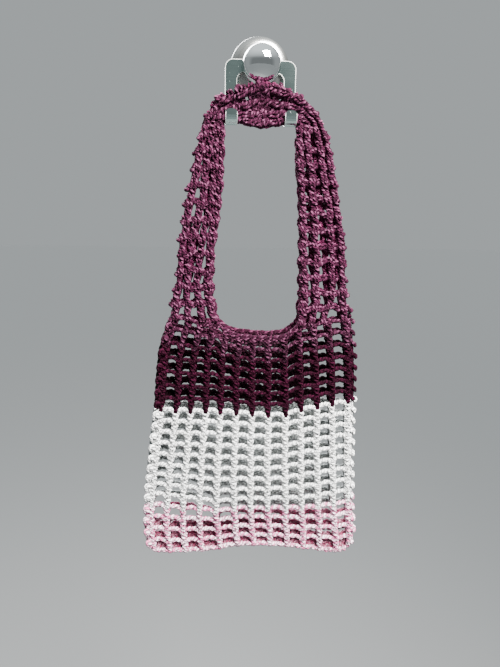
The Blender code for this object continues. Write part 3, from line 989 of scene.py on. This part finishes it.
def posts(cloth, lines, rows, radius, foot, head):
    """A core, and two legs that are foot + (head - foot) t^0.8 apart and start by (1 - t) cubed
    in front of the bar below."""
    t, (line, row) = steps(POST_POINTS), every(lines, rows)
    uneven = 1 + 0.2 * wander(line, row, 21)
    below = FOOT_BELOW * (row > 0)
    point, across, _, out = cloth_frame(cloth, line + 0 * t, row - below + (1 + below) * t)
    taper = radius * (0.6 + 0.4 * np.minimum(t / 0.25, 1)) * (1 + 0 * line)
    strands = []
    for leg in (-1, 1):
        spread = leg * (foot + (head * uneven - foot) * t**0.8) / 2
        spread = spread * (1 + 0.2 * np.sin(TURN * 1.5 * t + leg))
        forward = 1.6 * radius * (1 - t) ** 3 + 0.35 * radius * leg * np.sin(TURN * t * 0.75)
        strands.append((moved(point, (spread, across), (forward, out)), out, taper))
    sway = 0.5 * np.sin(TURN * (t + 0.3 * line))
    core = point[:, 1:] + sway[:, 1:, None] * across[:, 1:] - 0.4 * radius * out[:, 1:]
    strands.append((core, out[:, 1:], radius))
    return strands


def wraps(cloth, lines, rows, radius, head):
    """Strands slanting over each post's front to the lower right, out by a half wave."""
    t, (line, row) = steps(WRAP_POINTS), every(lines, rows)
    strands = []
    for start, end in WRAPS:
        height = row + start + (end - start) * t
        point, across, _, out = cloth_frame(cloth, line + 0 * t, height)
        sideways = head * (0.55 + 0.45 * start) * (0.60 - 1.15 * t) * -cloth[1]
        uneven = 1 + 0.2 * wander(line, row + start, 5)
        forward = radius * (0.2 + 1.25 * np.sin(np.pi * t)) * uneven
        strands.append((moved(point, (sideways, across), (forward, out)), out, 0.85 * radius))
    return strands


# %% Loops at the edges
RING_POINTS, WHIP_POINTS = 12, 9


def edge_frame(cloth, line, rows, climb, points):
    """Rows, steps along a loop, and the cloth there with its directions, across being outwards."""
    row, t = np.asarray(rows, float)[:, None], steps(points)
    point, across, up, out = cloth_frame(cloth, line, row + climb * t)
    return row, t, point, across * np.sign(line), up, out


def rings(cloth, line, rows, radius, inset, ring, height):
    """A loop beside each row: (ring cos a, height sin a) about a middle inset from the edge."""
    row, t, point, outward, up, out = edge_frame(cloth, line, rows, 0, RING_POINTS)
    uneven = 1 + 0.18 * wander(3 * line, 2 * row, 31)
    angle = TURN * (1.1 * t + 0.4 + 0.1 * wander(line, row, 33))
    sideways = ring * uneven * np.cos(angle) - inset
    upward, forward = height * uneven * np.sin(angle), 2.4 * t + 0.2 + 0 * row
    return [(moved(point, (sideways, outward), (upward, up), (forward, out)), out, radius)]


def whips(cloth, line, rows, radius, depth, inset, bulge, climb):
    """A loop round the edge: depth cos(pi t) outwards, bulge sin(pi t) - inset sideways."""
    row, t, point, outward, up, out = edge_frame(cloth, line, rows, climb, WHIP_POINTS)
    uneven = 1 + 0.35 * wander(3 * line, 2 * row, 41)
    sideways = bulge * uneven * np.sin(np.pi * t) - inset
    forward = depth * np.cos(np.pi * t)
    return [(moved(point, (sideways, outward), (forward, out)), up, radius)]


def hem_whips(cloth, lines, level, radius, depth, drop, climb):
    """The same loop round a lower edge: down by drop sin(pi t)."""
    line, t = np.asarray(lines, float)[:, None], steps(WHIP_POINTS)
    point, across, up, out = cloth_frame(cloth, line + climb * t, level)
    fall = -drop * (1 + 0.3 * wander(3 * line, 1.0, 51)) * np.sin(np.pi * t)
    return [(moved(point, (fall, up), (depth * np.cos(np.pi * t), out)), across, radius)]


# %% [markdown]
# ## The four bands of each net
# The bag changes yarn as it is worked: pink and white marl for 4 rows, white for 9, plum
# for 5, and mauve marl for the last 2, the edging and the straps. Each band is two pieces:
# the two front strands of its chains, and the other stitches. On the left each row ends in
# a big round loop, and on the right in a smaller one.

# %% Bands of the body
YARN, FRONT_CHAIN = 1.75, 1.6  # radii in mm
BANDS = {  # colour, first row, end
    -1: (("pink", 0, 4), ("white", 4, 13), ("plum", 13, 18), ("mauve", 18, 20)),
    1: (("pink", 0, 3), ("white", 3, 13), ("plum", 13, 18), ("mauve", 18, 20)),
}
EDGE_LINES = {-1: -EDGE, 1: COLUMNS + EDGE}
BODY_SPAN = (0.15 - EDGE, COLUMNS + EDGE - 0.15)  # of the bars, short of the seams
FRONT_SWING, FRONT_RISE, BACK_RISE, CHAIN_DEPTH = 0.95, 1.6, 2.0, 0.8  # in mm
BACK_SWING = {"pink": 1.6, "white": 1.9, "plum": 2.5, "mauve": 2.2}  # of its slacker chains
BACK_FILL, FILL_SWING = (0.25, 0.5, 0.85, 1.6), 2.3  # levels of chains that close its foot
# Rows above the bar, and in mm the yarn's radius, the inset, and the loop's radius and height.
ROW_ENDS = {-1: (0.32, 2.7, 3.4, 1.8, 3.3), 1: (0.03, 1.9, 3.5, 1.1, 1.4)}
SIDE_PLAIT = dict(swing=1.1, depth=0.8, stitches=1.5, samples=12)


def band_strands(side, colour, first, end):
    """The chains and the other stitches of one colour band of one net."""
    cloth, front = (body_net(side), -side), side < 0
    radius, swing, rise = YARN, BACK_SWING[colour], BACK_RISE
    if front:
        radius, swing, rise = FRONT_CHAIN, FRONT_SWING, FRONT_RISE
    levels = np.arange(first + (first > 0), end + 1)
    chain = bars(cloth, levels, *BODY_SPAN, radius, swing, CHAIN_DEPTH, rise)
    rows = np.arange(first, end)
    others = chain[2:] + posts(cloth, POST_LINES, rows, YARN, foot=1.0, head=5.0)
    others += wraps(cloth, POST_LINES, rows, YARN, head=4.8)
    if colour == "pink" and not front:
        others += bars(cloth, BACK_FILL, *BODY_SPAN, radius, FILL_SWING, CHAIN_DEPTH, rise)
    for edge, (level, *loop) in ROW_ENDS.items():
        line = EDGE_LINES[edge]
        others += rings(cloth, line, rows + level, *loop)
        if front:
            others += uprights(cloth, line - 0.30 * edge, first, end, YARN, **SIDE_PLAIT)
    return chain[:2], others


# %% The straps and the rim
STRAP_POST = 2.0  # radius of the straps' fuller posts in mm
# How many rows below the strap's top a layer's closing chains lie.
TOP_FILL = {-1: np.array((1.5, 0.5)), 1: np.array((2.5, 1.5, 0.5))}
RIM_SPAN = (2.4, COLUMNS - 2.4)  # from one strap's foot to the other's


def rim_strands(side):
    """The mouth's edging: one more chain on top of the last bar. It goes on up the straps."""
    cloth = body_net(side), -side
    return bars(cloth, [ROWS], *RIM_SPAN, YARN, swing=1.0, depth=0.6, rise=0.6, lift=3.3)


def strap_strands(side):
    """The chains, the other stitches and the edging of one layer of the strap loop."""
    chains, others = [], []
    lines, span = np.arange(STRAP_COLUMNS + 1.0), (-EDGE, STRAP_COLUMNS + EDGE)
    edging = dict(swing=1.5, depth=0.6, stitches=1.5, samples=14)
    for leg, (_, rows) in STRAP_STARTS.items():
        cloth, numbers = (strap_net(side, leg), side * leg), np.arange(rows)
        chain = bars(cloth, numbers + 1.0, *span, YARN, swing=2.2, depth=0.6, rise=1.0)
        chains += chain[:2]
        others += chain[2:] + posts(cloth, lines, numbers, STRAP_POST, foot=2.8, head=4.6)
        levels = rows - TOP_FILL[side]
        others += bars(cloth, levels, *span, YARN, swing=1.9, depth=0.6, rise=1.0)
        others += wraps(cloth, lines, numbers, YARN, head=5.2)
        others += uprights(cloth, span[1] - 0.2, 0.0, rows, YARN, **edging)
    return chains, others


# %% [markdown]
# ## Joining the nets
# The two nets are crocheted together. Down both sides a chain has a loop round it at every
# bar, the straps' outer edges are closed by three loops a row, and along the bottom two
# loops a column go round a chain, with a few thicker ones at the right corner.

# %% Side seams
SIDE_SEAMS = {-1: (0.45, 1.0), 1: (0.25, 2.2)}  # the chain's inset in columns, the loops' bulge


def between(front, back):
    """The surface halfway between two others."""
    return lambda u, v: (front(u, v) + back(u, v)) / 2


def seam_strands(first, end):
    """The joining stitches of one band, down both sides."""
    cloth, places = (between(body_net(-1), body_net(1)), 1), np.arange(first, end) + 0.8
    chain = dict(swing=1.2, depth=1.6, stitches=1.0, samples=12)
    strands = []
    for edge, (inset, bulge) in SIDE_SEAMS.items():
        line = EDGE_LINES[edge]
        strands += uprights(cloth, line - inset * edge, first, end, YARN, **chain)
        strands += whips(cloth, line, places, YARN, depth=4.0, inset=2.4, bulge=bulge, climb=0.25)
    return strands


# %% Seams of the strap and the bottom
STRAP_LOOPS = (  # place in the row, yarn radius, depth, inset, bulge, climb
    (0.82, 2.2, 3.2, 2.6, 3.8, 0.15),
    (0.98, YARN, 3.2, 3.0, 2.4, 0.12),
    (0.4, YARN, 3.2, 3.6, 1.0, 0.2),
)
CORNER_LOOPS = (10.3, 10.8, 11.25, 11.6)  # post lines of thick loops


def strap_seam_strands():
    """The joining stitches over the strap's outer edge."""
    strands = []
    for leg, (_, rows) in STRAP_STARTS.items():
        cloth = between(strap_net(-1, leg), strap_net(1, leg, slipped=False)), -leg
        for start, *loop in STRAP_LOOPS:
            strands += whips(cloth, -EDGE, np.arange(rows) + start, *loop)
    return strands


def bottom_strands():
    """The chain along the bottom, and two loops round it for each column."""
    cloth, lines = (between(body_net(-1), body_net(1)), 1), np.arange(-EDGE, COLUMNS + EDGE, 0.5)
    strands = bars(cloth, [0.0], *BODY_SPAN, YARN, swing=1.0, depth=1.6, rise=0.0)
    strands += hem_whips(cloth, lines, 0.24, 1.5, depth=3.7, drop=3.9, climb=0.4)
    return strands + hem_whips(cloth, CORNER_LOOPS, 0.15, 2.2, depth=3.2, drop=4.6, climb=0.35)


# %% Make the seams
for colour, first, end in BANDS[-1]:
    strands = seam_strands(first, end)
    if colour == "pink":
        strands += bottom_strands()
    if colour == "mauve":
        strands += strap_seam_strands()
    yarn_piece(f"{colour}_seam", strands, colour, 0, "front_panel", "back_panel")

# %% [markdown]
# ## The panels
# Each net hangs from the hook, and each band from the one above it, so each net is made
# from the top band down. The mauve band also takes the straps and the rim.

# %% Panels
for side, side_name in ((-1, "front"), (1, "back")):
    for colour, first, end in reversed(BANDS[side]):
        chains, others = band_strands(side, colour, first, end)
        if colour == "mauve":
            strap_chains, strap_others = strap_strands(side)
            chains, others = chains + strap_chains, others + strap_others + rim_strands(side)
        panel = side_name + "_panel"
        piece = yarn_piece(f"{side_name}_{colour}_chains", chains, colour, side, panel)
        stitches = yarn_piece(f"{side_name}_{colour}_stitches", others, colour, side, panel)
